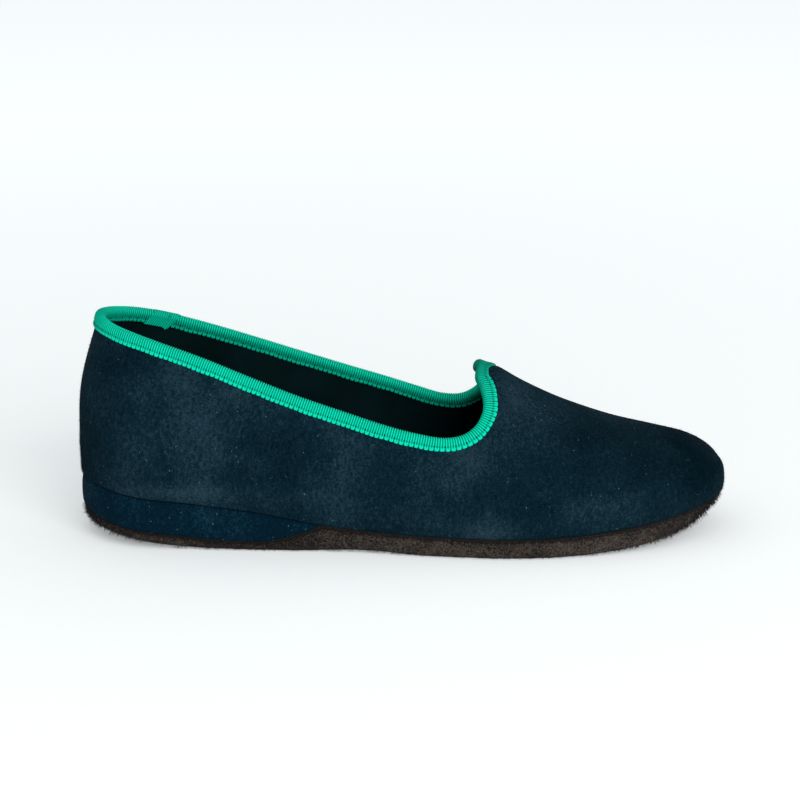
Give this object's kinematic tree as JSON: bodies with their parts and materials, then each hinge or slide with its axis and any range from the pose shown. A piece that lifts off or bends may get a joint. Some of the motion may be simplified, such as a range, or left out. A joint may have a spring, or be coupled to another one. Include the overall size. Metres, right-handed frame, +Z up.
{
  "type": "leather slipper",
  "caption": "Low suede house slipper with a peaked vamp, ribbon-bound collar, covered heel wedge and soft suede sole",
  "frame": {"origin": "on the floor under the middle of the slipper's bounding box", "axes": "+X towards the toe, +Y towards the inner (big toe) side, +Z up from the floor"},
  "size_m": [0.258, 0.087, 0.0899],
  "materials": {
    "navy_suede": "dark navy suede, mottled open nap",
    "green_ribbon": "bright green ribbed grosgrain ribbon, stitched",
    "wedge_suede": "dark navy suede, smooth short nap",
    "brown_suede": "dark brown rough suede, fibrous edge",
    "lining_leather": "dark smooth lining leather over foam"
  },
  "bodies": {
    "root": {"upper": "navy_suede", "collar_binding": "green_ribbon", "heel_wedge": "wedge_suede", "outsole": "brown_suede", "insole": "lining_leather"}
  },
  "joints": []
}
